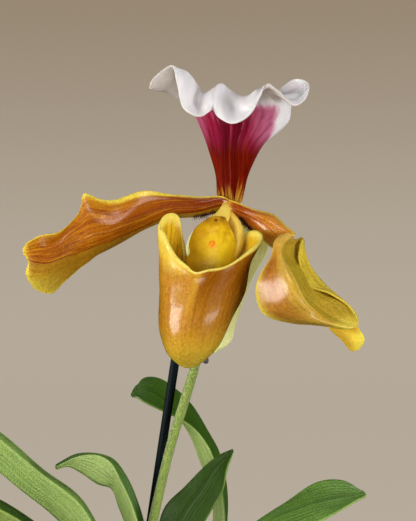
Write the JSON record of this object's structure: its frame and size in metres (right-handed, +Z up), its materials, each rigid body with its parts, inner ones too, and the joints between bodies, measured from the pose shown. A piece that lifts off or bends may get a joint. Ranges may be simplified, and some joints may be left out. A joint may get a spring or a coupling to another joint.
{
  "type": "paphiopedilum orchid",
  "caption": "Slipper orchid in bloom in a plain nursery pot, its stem clipped to a stake above strap leaves; stands on a table or shelf as a potted plant.",
  "frame": {"origin": "centre of the pot's flat base", "axes": "+Z up along the pot's axis; -Y is the side that the bloom faces; +X is to the right of someone who faces the bloom"},
  "size_m": [0.2009, 0.1378, 0.2757],
  "materials": {
    "dorsal_sepal": "velvety, crimson centre, white ruffled margin",
    "petal": "glossy, orange-brown with yellow margins",
    "synsepal": "satin, pale greenish white",
    "pouch": "glossy, golden yellow with brown veins",
    "column": "satin, yellow",
    "stem": "matt, downy green",
    "leaf": "satin, green",
    "root": "matt, brown",
    "bark": "matt, rough",
    "pot_plastic": "matt",
    "stake": "satin",
    "clip": "satin"
  },
  "bodies": {
    "root": {"pot": "pot_plastic", "bark": "bark", "rootstock": "root", "leaf_left_curled": "leaf", "leaf_middle": "leaf", "leaf_left_long": "leaf", "leaf_right": "leaf", "leaf_left_low": "leaf", "leaf_front": "leaf", "leaf_back_tall": "leaf", "leaf_back_right": "leaf", "leaf_back_young": "leaf", "leaf_back_left": "leaf", "flower_stem": "stem", "ovary": "stem", "bract": "stem", "stake": "stake", "clip": "clip", "dorsal_sepal": "dorsal_sepal", "petal_left": "petal", "petal_right": "petal", "synsepal": "synsepal", "pouch": "pouch", "column": "column"}
  },
  "joints": []
}
